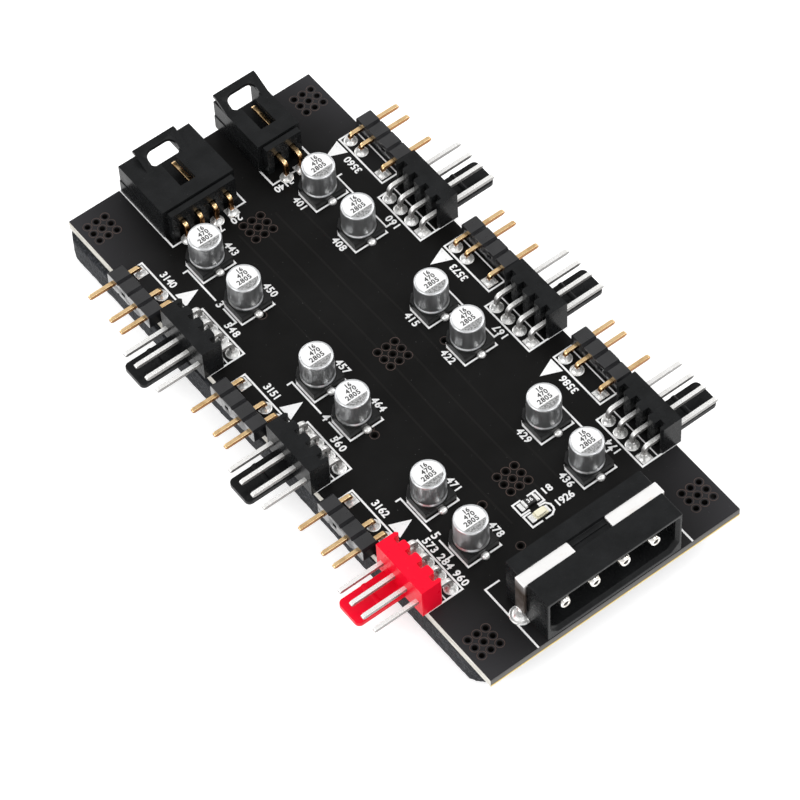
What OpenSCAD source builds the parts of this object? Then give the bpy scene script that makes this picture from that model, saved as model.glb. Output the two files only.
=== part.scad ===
// Fan and light controller hub: a narrow circuit board on a foam pad, with
// right-angle fan headers and light headers down both long edges, a keyed
// power socket at the front edge and two latched input sockets at the back.
// Origin: middle of the board's outline, on the underside of the foam pad.
// +Y runs from the power socket to the input sockets, +Z is up.

/* [Board] */
// Width of the circuit board, between the two rows of headers
board_w = 42.5; // [41:0.5:60]
// Length of the circuit board, from the power socket to the input sockets
board_l = 96.5; // [95.5:0.5:130]
// Thickness of the circuit board
board_t = 1.6; // [1:0.1:2.4]
// Diameter of the plated through holes in the via clusters
via_d = 0.85; // [0.3:0.05:1.1]
// Distance between neighbouring holes in a via cluster
via_pitch = 1.5; // [1.2:0.05:1.8]
// Diameter of the holes that take the pins of the headers
pin_hole_d = 1.05; // [0.95:0.05:1.3]

/* [Foam pad] */
// Thickness of the foam pad under the board
pad_t = 4.8; // [2:0.1:8]
// Width of the foam pad
pad_w = 41.6; // [36:0.1:42]
// Length of the foam pad
pad_l = 95; // [80:0.5:95.5]
// Corner radius of the foam pad
pad_r = 3.6; // [1:0.1:8]
// How far the pad was stuck off centre, towards the left edge
pad_shift_x = -0.9; // [-1.5:0.1:1.5]
// How far the pad was stuck off centre, towards the back edge
pad_shift_y = 1.8; // [-2:0.1:2]
// How far the pad was stuck out of square, in degrees
pad_turn = 0.6; // [-1:0.1:1]

/* [Pin headers] */
// Pitch of the pins in every header and input socket
pitch = 2.54; // [2.4:0.01:2.6]
// Width of the square header pins
pin_w = 0.64; // [0.5:0.02:0.7]
// Gap between a pin and the plastic or solder around it
pin_fit = 0.02; // [0.01:0.01:0.06]
// Distance along the board between one group of headers and the next
group_pitch = 24.5; // [23:0.1:28]

/* [Light headers] */
// Height and depth of the plastic strip of a light header
strip_w = 2.54; // [2.3:0.02:2.8]
// Chamfer between the blocks of the strip
strip_notch = 0.3; // [0.2:0.05:0.6]
// How far the strip stands out over the board's edge
strip_out = 1.85; // [0.5:0.05:2.2]
// Distance of the light header's soldered legs from the board's edge
strip_leg_in = 2.68; // [2.2:0.02:3.6]
// How far the gold pins reach past the board's edge
strip_pin_out = 5.9; // [4:0.1:9]
// Place of the middle light header along the board, from the board's middle
strip_y = 30.75; // [29:0.05:32]

/* [Fan headers] */
// Length of the plastic body of a fan header
fan_body_l = 9.9; // [9.6:0.05:10.16]
// Height of the plastic body of a fan header
fan_body_h = 5.6; // [4.5:0.1:7]
// Depth of the body without the ribs behind it
fan_body_d = 2.35; // [2:0.05:3.2]
// How far the body stands out over the board's edge
fan_body_out = 0.85; // [0.3:0.05:1.2]
// Depth of the ribs that guide the bent legs
fan_rib_d = 1.1; // [0.5:0.05:1.2]
// Width of the slots between the ribs
fan_slot_w = 1; // [0.9:0.05:1.4]
// Height of the fan header's pins above the board
fan_pin_z = 2.4; // [2.1:0.1:3.4]
// How far the fan header's pins reach past the board's edge
fan_pin_out = 8.05; // [6:0.05:11]
// Distance of the fan header's soldered legs from the board's edge
fan_leg_in = 4.65; // [4.2:0.05:5.5]
// Width of the friction tab below the pins
tab_w = 4.65; // [4:0.05:5.2]
// Thickness of the friction tab
tab_t = 0.75; // [0.6:0.05:1.4]
// How far the friction tab reaches past the board's edge
tab_out = 8.6; // [6:0.1:12]
// Radius of the tab's two outer corners
tab_r = 0.8; // [0.2:0.1:2]
// Place of the first fan header along the board, from the board's middle
fan_y = 19; // [18.8:0.05:19.4]

/* [Capacitors] */
// Diameter of a capacitor's can
can_d = 4.9; // [4:0.1:5.1]
// Height of the top of the can above the board
can_top = 5.6; // [4.5:0.1:9]
// Radius of the rolled edge at the top of the can
can_edge = 0.35; // [0.1:0.05:0.6]
// Side of the square plastic base
base_w = 5.3; // [5.2:0.05:5.8]
// Thickness of the plastic base under the can
base_t = 0.85; // [0.5:0.05:1.2]
// Chamfer on the two marked corners of the base
base_chamfer = 1.1; // [0.3:0.1:1.5]
// Distance between the two columns of capacitors
can_columns = 19.8; // [19:0.1:21]
// Clear board between the input sockets' legs and the nearest capacitor lead
can_clear = 1.5; // [1:0.05:2.5]
// Distance inside the front and back pairs
can_gap_outer = 9.2; // [8:0.05:9.6]
// Distance inside the middle pair
can_gap_middle = 8.15; // [7.6:0.05:9.6]

/* [Power socket] */
// Pitch of the power pins
power_pitch = 5.08; // [4.9:0.02:5.2]
// Width of the power socket's housing
power_w = 22.7; // [22.2:0.1:24]
// Height of the power socket's housing
power_h = 8.6; // [8.2:0.1:10]
// Depth of the roof in front of the bracket groove
power_roof_d = 4.3; // [3.6:0.1:4.8]
// Depth of the power socket's housing
power_d = 8.85; // [8:0.05:10]
// Thickness of the housing's side and top walls
power_wall = 0.8; // [0.6:0.05:1.1]
// Thickness of the housing's floor
power_floor = 1.35; // [0.8:0.05:1.6]
// Chamfer on the two keyed corners of the cavity
power_key = 1.15; // [1:0.05:2.4]
// Diameter of the round power pins
power_pin_d = 2.1; // [1.6:0.05:2.3]
// Thickness of the soldered metal brackets
bracket_t = 0.5; // [0.3:0.05:0.8]
// Width of the brackets
bracket_w = 2; // [1.4:0.1:2.4]
// Length of a bracket's strip along the housing
bracket_l = 8.2; // [5:0.1:9]

/* [Input sockets] */
// Depth of an input socket's housing
input_d = 10.75; // [10:0.05:13]
// Height of an input socket's housing
input_h = 5.7; // [5.4:0.1:7]
// Thickness of an input socket's walls
input_wall = 0.8; // [0.6:0.05:1]
// Plastic past the outer pins, at each end of an input socket
input_side = 2.36; // [2:0.02:2.8]
// Height of the input pins above the board
input_pin_z = 3.2; // [2.9:0.1:3.4]
// Width of the slot in the roof
input_slot_w = 2.6; // [2:0.1:3.2]
// Width of the latch loop on the roof
latch_w = 7.2; // [6.4:0.1:7.3]
// Height of the latch loop above the roof
latch_rise = 1.45; // [0.6:0.05:1.8]
// Width of the latch loop's arms and bar
latch_bar = 1.15; // [0.8:0.05:1.4]
// How far the two-pin socket stands out over the back edge
small_socket_out = 0.65; // [0:0.05:1.4]
// How far the four-pin socket stands back from the back edge
big_socket_back = 0.3; // [0:0.05:0.8]

/* [Hidden] */

$fn = 48;
eps = 0.01;

// Levels, from the surface that the hub stands on
board_bottom = pad_t;
board_top = pad_t + board_t;
front_edge = -board_l / 2;
back_edge = board_l / 2;
side_edge = board_w / 2;

header_pins = 4;
header_l = header_pins * pitch;
input_leg_in = 2.45;

// Headers 1 to 3 are on the left edge and 4 to 6 on the right, back to front
function header_side(i) = i <= 3 ? -1 : 1;
function header_row(i) = (i - 1) % 3;
function strip_centre_y(i) = strip_y - header_row(i) * group_pitch;
function fan_centre_y(i) = fan_y - header_row(i) * group_pitch;
// Pin k of a header: its first pin is towards the back on the left edge,
// and towards the front on the right edge
function header_pin_y(k) = (1.5 - k) * pitch;
missing_strip_pin = 1;

// Capacitors 1 to 6 are in the right column and 7 to 12 in the left, back to front
can_count = 12;
function can_x(i) = (i <= 6 ? 1 : -1) * can_columns / 2;
function can_pair(i) = 1 - floor(((i - 1) % 6) / 2);
function can_gap(i) = can_pair(i) == 0 ? can_gap_middle : can_gap_outer;
can_middle_y = 0.3;
function can_y(i) = can_middle_y + can_pair(i) * can_pair_pitch
    + ((i - 1) % 2 == 0 ? 0.5 : -0.5) * can_gap(i);
can_bead_z = 1.5;
can_bead = 0.16;
lead_w = 0.8;
lead_t = 0.3;
lead_out = 0.55;
// Distance along the board between one pair of capacitors and the next
can_pair_pitch = back_edge - input_d - input_leg_in - can_clear - lead_out
    - base_w / 2 - can_gap_outer / 2 - can_middle_y;

// Power socket, a little left of the board's middle line
power_x = -0.25;
power_front = front_edge + 0.05;
power_cavity_h = power_h - power_wall - power_floor;
power_cavity_d = power_d - 2.4;
power_mouth_d = power_roof_d - 0.5;
power_slot_d = 1.2;
power_lead = 0.4;
power_lead_d = 0.5;
power_slot_h = 1;
power_pin_z = power_floor + power_cavity_h / 2 - 0.1;
power_pin_tip = 0.95;
power_tail_d = 1.3;
power_tail_y = power_d + 1.4;
power_hole_d = 1.6;
power_step = bracket_t + 0.2;
power_leg_y = power_roof_d + bracket_w / 2;
power_leg_w = 1.1;
power_leg_hole = 1.5;

// Input sockets, with their outer ends by the back edge
input_step_d = 1.25;
input_step_h = input_h - 0.25;
input_step_in = 0.65;
input_groove = 0.3;
input_notch_w = 1.3;
input_skirt = 0.12;
input_skirt_h = 2.6;
input_leg_y = input_d + input_leg_in;
input_pin_tip = 2.6;
input_back_wall = 1.4;
latch_l = 3.6;
latch_flat = 0.6;
latch_t = 0.5;
latch_window_d = 2.8;
input_slot_end = 2.35;
big_socket_x = -6.05;
big_socket_pins = 4;
small_socket_x = 8.75;
small_socket_pins = 2;
function input_w(n) = (n - 1) * pitch + 2 * input_side;

// Small parts between the power socket and the capacitors
chip_l = 2;
chip_w = 1.25;
resistor_h = 0.55;
led_h = 0.75;
resistor_x = -0.2;
resistor_y = front_edge + 18.5;
led_x = -0.05;
led_y = resistor_y - 2.35;

solder_r = 0.85;
solder_top_r = 0.5;
solder_h = 0.55;

// Clusters of nine plated holes, as places on the board
corner_in = 3;
corner_back = 4;
corner_front = 5.25;
corner_x = side_edge - corner_in;
via_clusters = [[-corner_x, back_edge - corner_back], [corner_x, back_edge - corner_back],
                [-corner_x, front_edge + corner_front], [corner_x, front_edge + corner_front],
                [-0.95, back_edge - 17.8], [0.55, 1.15], [0.6, front_edge + 22.9]];
single_vias = [[6.35, back_edge - 18.65], [-9.6, 17.8], [-9.5, -6.7], [-9.6, -8],
               [7.5, -1.6], [7.45, -3.2], [9.6, front_edge + 26.25],
               [-5.2, front_edge + 22.15], [-5.2, front_edge + 13.85]];

// A bar of square section that runs along -X, ends in a blunt point, and
// turns down at x = turn_x with a round bend to reach the level z = foot_z
module bent_pin(tip_x, turn_x, axis_z, foot_z, bend_r) {
    half = pin_w / 2;
    taper = pin_w * 0.3;
    translate([0, half, 0])
        rotate([90, 0, 0])
            linear_extrude(pin_w)
                union() {
                    polygon([[tip_x, axis_z - half + taper],
                             [tip_x + 2 * taper, axis_z - half],
                             [turn_x - bend_r + half, axis_z - half],
                             [turn_x - bend_r + half, axis_z + half],
                             [tip_x + 2 * taper, axis_z + half],
                             [tip_x, axis_z + half - taper]]);
                    translate([turn_x - half, foot_z])
                        square([pin_w, axis_z + half - bend_r - foot_z]);
                    intersection() {
                        translate([turn_x + half - bend_r, axis_z + half - bend_r])
                            difference() {
                                circle(r = bend_r);
                                circle(r = bend_r - pin_w);
                            }
                        translate([turn_x + half - bend_r, axis_z + half - bend_r])
                            square(bend_r + eps);
                    }
                }
}

// The square tunnel that a header pin is pushed through
module pin_tunnel(from_x, to_x, axis_z) {
    w = pin_w + 2 * pin_fit;
    translate([from_x, -w / 2, axis_z - w / 2])
        cube([to_x - from_x, w, w]);
}

// Carries a header from its own frame, with the board's edge at x = 0 and
// the board inside at +X, to its place on the left or right edge
module at_edge(i, centre_y) {
    side = header_side(i);
    translate([side * side_edge, centre_y, board_top])
        rotate([0, 0, side < 0 ? 0 : 180])
            children();
}

module via_cluster() {
    for (ix = [-1:1])
        for (iy = [-1:1])
            translate([ix * via_pitch, iy * via_pitch, 0])
                cylinder(d = via_d, h = board_t + 2 * eps, $fn = 16);
}

module pin_hole(d) {
    cylinder(d = d, h = board_t + 2 * eps, $fn = 20);
}

// Carries an input socket from its own frame, with its outer face at y = 0
// and the board inside at -Y, to its place at the back edge
module at_back(socket_x, out) {
    translate([socket_x, back_edge + out, board_top])
        children();
}

module circuit_board() {
    color([0.09, 0.09, 0.1])
        difference() {
            translate([-board_w / 2, front_edge, board_bottom])
                cube([board_w, board_l, board_t]);
            translate([0, 0, board_bottom - eps]) {
                for (c = via_clusters)
                    translate([c[0], c[1], 0])
                        via_cluster();
                for (v = single_vias)
                    translate([v[0], v[1], 0])
                        cylinder(d = via_d, h = board_t + 2 * eps, $fn = 16);
            }
            for (i = [1:6]) {
                for (k = [0:header_pins - 1]) {
                    if (k != missing_strip_pin)
                        at_edge(i, strip_centre_y(i))
                            translate([strip_leg_in, header_pin_y(k), -board_t - eps])
                                pin_hole(pin_hole_d);
                    at_edge(i, fan_centre_y(i))
                        translate([fan_leg_in, header_pin_y(k), -board_t - eps])
                            pin_hole(pin_hole_d);
                }
            }
            for (k = [0:3])
                translate([power_x + (k - 1.5) * power_pitch, power_front + power_tail_y,
                           board_bottom - eps])
                    pin_hole(power_hole_d);
            for (side = [-1, 1])
                translate([power_x + side * (power_w / 2 + bracket_t / 2),
                           power_front + power_leg_y, board_bottom - eps])
                    pin_hole(power_leg_hole);
            at_back(big_socket_x, -big_socket_back)
                input_leg_holes(big_socket_pins, input_leg_y - big_socket_back);
            at_back(small_socket_x, small_socket_out)
                input_leg_holes(small_socket_pins, input_leg_y + small_socket_out);
        }
}

module input_leg_holes(n, leg_y) {
    for (k = [0:n - 1])
        translate([(k - (n - 1) / 2) * pitch, -leg_y, -board_t - eps])
            pin_hole(pin_hole_d);
}

module foam_pad() {
    color([0.13, 0.13, 0.14])
        translate([pad_shift_x, pad_shift_y, 0])
            rotate([0, 0, pad_turn])
                linear_extrude(pad_t)
                    union() {
                        square([pad_w - 2 * pad_r, pad_l], center = true);
                        square([pad_w, pad_l - 2 * pad_r], center = true);
                        for (sx = [-1, 1])
                            for (sy = [-1, 1])
                                translate([sx * (pad_w / 2 - pad_r), sy * (pad_l / 2 - pad_r)])
                                    circle(r = pad_r);
                    }
}

// Four notched blocks in a row, with a square tunnel through each
module light_header(i) {
    n = strip_notch;
    color([0.12, 0.12, 0.13])
        at_edge(i, strip_centre_y(i))
            difference() {
                translate([-strip_out, 0, 0])
                    rotate([90, 0, 90])
                        linear_extrude(strip_w)
                            for (k = [0:header_pins - 1])
                                translate([header_pin_y(k), 0])
                                    polygon([[-pitch / 2, n], [-pitch / 2 + n, 0],
                                             [pitch / 2 - n, 0], [pitch / 2, n],
                                             [pitch / 2, strip_w - n], [pitch / 2 - n, strip_w],
                                             [-pitch / 2 + n, strip_w], [-pitch / 2, strip_w - n]]);
                for (k = [0:header_pins - 1])
                    translate([0, header_pin_y(k), 0])
                        pin_tunnel(-strip_out - eps, strip_w - strip_out + eps, strip_w / 2);
            }
}

// Three gold pins: the second place of the four is left empty
module light_pins(i) {
    color([0.85, 0.68, 0.35])
        at_edge(i, strip_centre_y(i))
            for (k = [0:header_pins - 1])
                if (k != missing_strip_pin)
                    translate([0, header_pin_y(k), 0])
                        bent_pin(-strip_pin_out, strip_leg_in, strip_w / 2, -board_t, pin_w * 1.2);
}

// Outline of a fan header's body seen from above: a slab with a slot behind
// each pin, and ribs between the slots that are rounded at their free ends
fan_round = 0.3;
function fan_slot_points(y) =
    let(x0 = fan_body_d - fan_body_out, x1 = x0 + fan_rib_d, w = fan_slot_w / 2, r = fan_round)
    [[x1, y - w - r], [x1 - r * 0.3, y - w - r * 0.3], [x1 - r, y - w], [x0, y - w],
     [x0, y + w], [x1 - r, y + w], [x1 - r * 0.3, y + w + r * 0.3], [x1, y + w + r]];
function fan_outline() =
    let(x1 = fan_body_d - fan_body_out + fan_rib_d, l = fan_body_l / 2, r = fan_round)
    concat([[-fan_body_out, -l], [x1 - r, -l], [x1, -l + r]],
           [for (k = [header_pins - 1:-1:0]) each fan_slot_points(header_pin_y(k))],
           [[x1, l - r], [x1 - r, l], [-fan_body_out, l]]);

module fan_header(i) {
    tab_y = header_pin_y(1);
    ridge_x = -tab_out / 2;
    color(i == 3 ? [0.82, 0.05, 0.1] : [0.1, 0.1, 0.11])
        at_edge(i, fan_centre_y(i)) {
            difference() {
                linear_extrude(fan_body_h)
                    polygon(fan_outline());
                for (k = [0:header_pins - 1])
                    translate([0, header_pin_y(k), 0])
                        pin_tunnel(-fan_body_out - eps, fan_body_d, fan_pin_z);
            }
            linear_extrude(tab_t)
                difference() {
                    translate([-tab_out, tab_y - tab_w / 2])
                        square([tab_out - fan_body_out + eps, tab_w]);
                    for (s = [-1, 1])
                        translate([-tab_out + tab_r, tab_y + s * (tab_w / 2 - tab_r)])
                            difference() {
                                translate([-tab_r - eps, s > 0 ? 0 : -tab_r - eps])
                                    square(tab_r + eps);
                                circle(r = tab_r);
                            }
                }
            translate([ridge_x, tab_y - tab_w / 2, tab_t - eps])
                rotate([-90, 0, 0])
                    linear_extrude(tab_w)
                        polygon([[-0.45, 0], [-0.15, -0.2], [0.15, -0.2], [0.45, 0]]);
        }
}

module fan_pins(i) {
    color([0.8, 0.8, 0.78])
        at_edge(i, fan_centre_y(i))
            for (k = [0:header_pins - 1])
                translate([0, header_pin_y(k), 0])
                    bent_pin(-fan_pin_out, fan_leg_in, fan_pin_z, -board_t, pin_w * 1.8);
}

// Drawn aluminium can with a rolled top edge and a bead above the base
module capacitor_can(i) {
    r = can_d / 2;
    color([0.8, 0.8, 0.82])
        translate([can_x(i), can_y(i), board_top])
            rotate_extrude()
                difference() {
                    union() {
                        polygon([[0, base_t], [r - can_bead, base_t], [r, base_t + can_bead],
                                 [r, can_top - can_edge], [r - can_edge, can_top], [0, can_top]]);
                        translate([r - can_edge, can_top - can_edge])
                            circle(r = can_edge);
                    }
                    translate([r + can_bead / 2, can_bead_z])
                        circle(r = can_bead, $fn = 16);
                }
}

// Square plastic base with two marked corners, and a shallow seat for the can
module capacitor_base(i) {
    h = base_w / 2;
    c = base_chamfer;
    seat_r = can_d / 2 + 0.06;
    color([0.1, 0.1, 0.11])
        translate([can_x(i), can_y(i), board_top])
            difference() {
                linear_extrude(base_t + 0.35)
                    polygon([[-h, -h], [h, -h], [h, h - c], [h - c, h], [c - h, h], [-h, h - c]]);
                translate([0, 0, base_t])
                    cylinder(r = seat_r, h = 1);
                for (s = [-1, 1])
                    translate([-lead_w / 2 - pin_fit, s < 0 ? -h - eps : h - 0.7, -eps])
                        cube([lead_w + 2 * pin_fit, 0.7 + eps, lead_t + pin_fit + eps]);
            }
}

// The two flat leads of every capacitor, bent out flat on the board
module capacitor_leads() {
    color([0.8, 0.8, 0.8])
        for (i = [1:can_count])
            translate([can_x(i), can_y(i), board_top])
                for (s = [-1, 1])
                    translate([-lead_w / 2, s < 0 ? -base_w / 2 - lead_out : base_w / 2 - 0.65, 0])
                        cube([lead_w, 0.65 + lead_out, lead_t]);
}

// Keyed cavity of the power socket, seen from the front, up to the level z1,
// and wider by the amount grow
module power_cavity_outline(z1, grow = 0) {
    w = power_w / 2 - power_wall + grow;
    z0 = power_floor - 1.5 * grow;
    key = power_key + 0.6 * grow;
    polygon([[-w + key, z0], [w - key, z0], [w, z0 + key],
             [w, z1 + grow / 2], [-w, z1 + grow / 2], [-w, z0 + key]]);
}

module power_socket_housing() {
    w = power_w / 2;
    step_z = power_h - power_step;
    middle = power_w - 2 * bracket_l - 0.3;
    color([0.1, 0.1, 0.11])
        translate([power_x, power_front, board_top])
            difference() {
                translate([-w, 0, 0])
                    cube([power_w, power_d, power_h]);
                // groove across the top that the brackets lie in
                translate([-w - eps, power_roof_d, step_z])
                    cube([power_w + 2 * eps, bracket_w, power_step + eps]);
                translate([0, power_mouth_d, 0])
                    rotate([90, 0, 0])
                        linear_extrude(power_mouth_d + eps)
                            power_cavity_outline(power_h - power_wall);
                // slanted lead-in round the mouth
                hull() {
                    rotate([90, 0, 0])
                        linear_extrude(eps)
                            power_cavity_outline(power_h - power_wall, power_lead);
                    translate([0, power_lead_d, 0])
                        rotate([90, 0, 0])
                            linear_extrude(eps)
                                power_cavity_outline(power_h - power_wall);
                }
                translate([0, power_cavity_d, 0])
                    rotate([90, 0, 0])
                        linear_extrude(power_cavity_d - power_mouth_d + eps)
                            power_cavity_outline(step_z - power_wall);
                // the deeper slot in the middle of the groove
                translate([-middle / 2, power_roof_d, power_h - power_slot_h])
                    cube([middle, power_slot_d, power_slot_h + eps]);
                for (k = [0:3])
                    translate([(k - 1.5) * power_pitch, power_cavity_d - eps, power_pin_z])
                        rotate([-90, 0, 0])
                            cylinder(d = power_pin_d + 2 * pin_fit, h = power_d);
            }
}

// Round pins with domed ends, each with a thinner tail bent down to the board
module power_pins() {
    r = power_pin_d / 2;
    t = power_tail_d / 2;
    bend = 1.2;
    color([0.85, 0.84, 0.8])
        for (k = [0:3])
            translate([power_x + (k - 1.5) * power_pitch, power_front, board_top]) {
                translate([0, 0, power_pin_z])
                    rotate([-90, 0, 0])
                        rotate_extrude($fn = 24)
                            polygon([[0, power_pin_tip], [r * 0.6, power_pin_tip],
                                     [r * 0.88, power_pin_tip + 0.25], [r, power_pin_tip + 0.7],
                                     [r, power_d], [t, power_d],
                                     [t, power_tail_y - bend], [0, power_tail_y - bend]]);
                translate([0, power_tail_y - bend, power_pin_z - bend])
                    rotate([90, 0, 90])
                        rotate_extrude(angle = 90, $fn = 24)
                            translate([bend, 0])
                                circle(r = t, $fn = 24);
                translate([0, power_tail_y, -board_t])
                    cylinder(r = t, h = power_pin_z - bend + board_t, $fn = 24);
            }
}

// A strip along the back of the roof that folds down the end of the housing
module power_bracket() {
    x_in = power_w / 2 - bracket_l;
    x_out = power_w / 2 + pin_fit;
    roof_z = power_h - power_step + pin_fit;
    y0 = power_roof_d + pin_fit;
    translate([x_in, y0, roof_z])
        cube([x_out + bracket_t - x_in, bracket_w - 2 * pin_fit, bracket_t]);
    translate([x_out, y0, 1.6])
        cube([bracket_t, bracket_w - 2 * pin_fit, roof_z - 1.6 + eps]);
    translate([x_out, power_leg_y - power_leg_w / 2, -board_t])
        cube([bracket_t, power_leg_w, board_t + 1.6 + eps]);
}

module power_brackets() {
    color([0.86, 0.86, 0.84])
        translate([power_x, power_front, board_top])
            for (m = [0, 1])
                mirror([m, 0, 0])
                    power_bracket();
}

// Housing of an input socket in its own frame: a box open at y = 0, with a
// slotted roof and a latch loop raised over the mouth
module input_housing(n) {
    w = input_w(n) / 2;
    lw = latch_w / 2;
    window_w = latch_w - 2 * latch_bar;
    window_r = 1.2;
    roof_cut = input_wall + latch_rise + 1;
    // the plate's underside runs into the roof this far from the mouth
    root = (latch_rise - latch_t + 0.3) * (latch_l - latch_flat) / latch_rise + latch_flat;
    color([0.1, 0.1, 0.11])
        difference() {
            union() {
                translate([-w, -input_d, 0])
                    cube([2 * w, input_d, input_h]);
                translate([-w - input_skirt, -input_d + 0.2, 0])
                    cube([2 * w + 2 * input_skirt, input_d - 0.2, input_skirt_h]);
                translate([-w + input_step_in, -input_d - input_step_d, 0])
                    cube([2 * (w - input_step_in), input_step_d + eps, input_step_h]);
                // latch plate that slopes up towards the mouth
                translate([-lw, 0, input_h])
                    rotate([90, 0, 90])
                        linear_extrude(latch_w)
                            polygon([[0, latch_rise - latch_t], [0, latch_rise], [-latch_flat, latch_rise],
                                     [-latch_l, 0], [-latch_l, -0.3], [-root, -0.3],
                                     [-latch_flat, latch_rise - latch_t]]);
            }
            // groove between the roof and the pin block behind it
            translate([-w, -input_d - input_groove, input_h - input_wall])
                cube([2 * w, input_groove, input_wall + eps]);
            // mouth and cavity
            translate([-w + input_wall, -input_d + input_back_wall, input_wall])
                cube([2 * w - 2 * input_wall, input_d, input_h - 2 * input_wall]);
            // slot in the roof
            translate([-input_slot_w / 2, -input_d + input_slot_end, input_h - input_wall - eps])
                cube([input_slot_w, input_d - latch_bar - input_slot_end, roof_cut]);
            // window under and inside the latch plate, rounded towards the mouth
            translate([0, -latch_bar, input_h - input_wall - eps])
                linear_extrude(roof_cut)
                    union() {
                        translate([-window_w / 2 + window_r, latch_bar - latch_window_d])
                            square([window_w - 2 * window_r, latch_window_d - latch_bar]);
                        translate([-window_w / 2, latch_bar - latch_window_d])
                            square([window_w, latch_window_d - latch_bar - window_r]);
                        for (s = [-1, 1])
                            translate([s * (window_w / 2 - window_r), -window_r])
                                circle(r = window_r);
                    }
            // gap below the plate's bar, so that it stands up as a loop
            translate([-window_w / 2, -latch_bar - eps, input_h - input_wall - eps])
                cube([window_w, latch_bar + 1, input_wall + eps]);
            // flat roof between the arms, behind the window
            translate([-window_w / 2, -latch_l - eps, input_h])
                cube([window_w, latch_l - latch_window_d + 2 * eps, latch_rise + eps]);
            // notches in the pin block that the pins bend down in
            for (k = [0:n - 1])
                translate([(k - (n - 1) / 2) * pitch, -input_d - input_groove, 0])
                    rotate([90, 0, 0])
                        linear_extrude(input_step_d)
                            union() {
                                translate([-input_notch_w / 2, -eps])
                                    square([input_notch_w, input_pin_z + 0.1]);
                                translate([0, input_pin_z])
                                    circle(d = input_notch_w);
                            }
            for (k = [0:n - 1])
                translate([(k - (n - 1) / 2) * pitch, 0, 0])
                    rotate([0, 0, 90])
                        pin_tunnel(-input_d - input_step_d - eps, -input_d + input_back_wall + eps,
                                   input_pin_z);
        }
}

module input_socket_4_pin() {
    at_back(big_socket_x, -big_socket_back)
        input_housing(big_socket_pins);
}

module input_socket_2_pin() {
    at_back(small_socket_x, small_socket_out)
        input_housing(small_socket_pins);
}

module input_pin_row(n, leg_y) {
    for (k = [0:n - 1])
        translate([(k - (n - 1) / 2) * pitch, 0, 0])
            rotate([0, 0, -90])
                bent_pin(input_pin_tip, leg_y, input_pin_z, -board_t, pin_w * 1.3);
}

module input_pins() {
    color([0.85, 0.68, 0.35]) {
        at_back(big_socket_x, -big_socket_back)
            input_pin_row(big_socket_pins, input_leg_y - big_socket_back);
        at_back(small_socket_x, small_socket_out)
            input_pin_row(small_socket_pins, input_leg_y + small_socket_out);
    }
}

module resistor() {
    cap = 0.4;
    color([0.15, 0.15, 0.16])
        translate([resistor_x, resistor_y, board_top]) {
            translate([-chip_l / 2 + cap, -chip_w / 2, 0])
                cube([chip_l - 2 * cap, chip_w, resistor_h - 0.05]);
            for (s = [-1, 1])
                translate([s * (chip_l / 2 - cap / 2) - cap / 2 - eps, -chip_w / 2, 0])
                    cube([cap + 2 * eps, chip_w, resistor_h]);
        }
}

module indicator_led() {
    color([0.9, 0.9, 0.82])
        translate([led_x, led_y, board_top]) {
            translate([-chip_l / 2, -chip_w / 2, 0])
                cube([chip_l, chip_w, led_h * 0.5]);
            translate([-chip_l * 0.32, 0, led_h * 0.5 - eps])
                rotate([90, 0, 90])
                    linear_extrude(chip_l * 0.64)
                        polygon([[-chip_w / 2, 0], [chip_w / 2, 0],
                                 [chip_w / 2 - 0.15, led_h * 0.5], [0.15 - chip_w / 2, led_h * 0.5]]);
        }
}

// A cone of solder round a square leg
module solder_cone(w) {
    hole = w + 2 * pin_fit;
    difference() {
        cylinder(r1 = solder_r, r2 = solder_top_r, h = solder_h, $fn = 24);
        translate([-hole / 2, -hole / 2, -1])
            cube([hole, hole, 3]);
    }
}

module solder_joints() {
    color([0.82, 0.82, 0.8]) {
        for (i = [1:6]) {
            for (k = [0:header_pins - 1]) {
                if (k != missing_strip_pin)
                    at_edge(i, strip_centre_y(i))
                        translate([strip_leg_in, header_pin_y(k), 0])
                            solder_cone(pin_w);
                at_edge(i, fan_centre_y(i))
                    translate([fan_leg_in, header_pin_y(k), 0])
                        solder_cone(pin_w);
            }
        }
        for (k = [0:3])
            translate([power_x + (k - 1.5) * power_pitch, power_front + power_tail_y, board_top])
                difference() {
                    cylinder(r1 = 1.35, r2 = 0.85, h = 0.7, $fn = 24);
                    translate([0, 0, -1])
                        cylinder(d = power_tail_d + 2 * pin_fit, h = 3, $fn = 24);
                }
        at_back(big_socket_x, -big_socket_back)
            input_solder(big_socket_pins, input_leg_y - big_socket_back);
        at_back(small_socket_x, small_socket_out)
            input_solder(small_socket_pins, input_leg_y + small_socket_out);
    }
}

module input_solder(n, leg_y) {
    for (k = [0:n - 1])
        translate([(k - (n - 1) / 2) * pitch, -leg_y, 0])
            solder_cone(pin_w);
}

circuit_board();
foam_pad();
for (i = [1:6]) {
    light_header(i);
    light_pins(i);
    fan_header(i);
    fan_pins(i);
}
for (i = [1:can_count]) {
    capacitor_can(i);
    capacitor_base(i);
}
capacitor_leads();
power_socket_housing();
power_pins();
power_brackets();
input_socket_4_pin();
input_socket_2_pin();
input_pins();
resistor();
indicator_led();
solder_joints();
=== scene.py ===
"""Looks of the fan and light controller hub: solder, print, plating, moulded plastic and foam."""
import contextlib
import itertools
import math

import bpy
from mathutils import Matrix, Vector


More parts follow.
